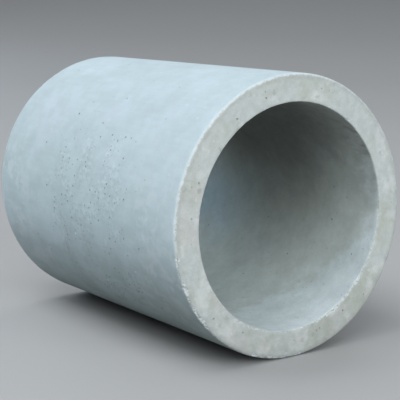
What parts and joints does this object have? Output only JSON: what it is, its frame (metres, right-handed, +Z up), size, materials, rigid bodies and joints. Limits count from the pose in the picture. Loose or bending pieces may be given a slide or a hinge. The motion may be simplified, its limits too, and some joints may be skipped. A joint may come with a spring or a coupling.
{
  "type": "concrete sewer pipe",
  "caption": "Short plain-ended concrete sewer pipe with a smooth round bore and lightly rounded arrises, lying on its side.",
  "frame": {"origin": "middle of the bore, halfway along the pipe", "axes": "+X along the bore, towards one of the two like end faces; +Z up, with the pipe lying on its side"},
  "size_m": [1.25, 1, 0.9999],
  "materials": {
    "concrete": "matte"
  },
  "bodies": {
    "root": {"pipe": "concrete"}
  },
  "joints": []
}
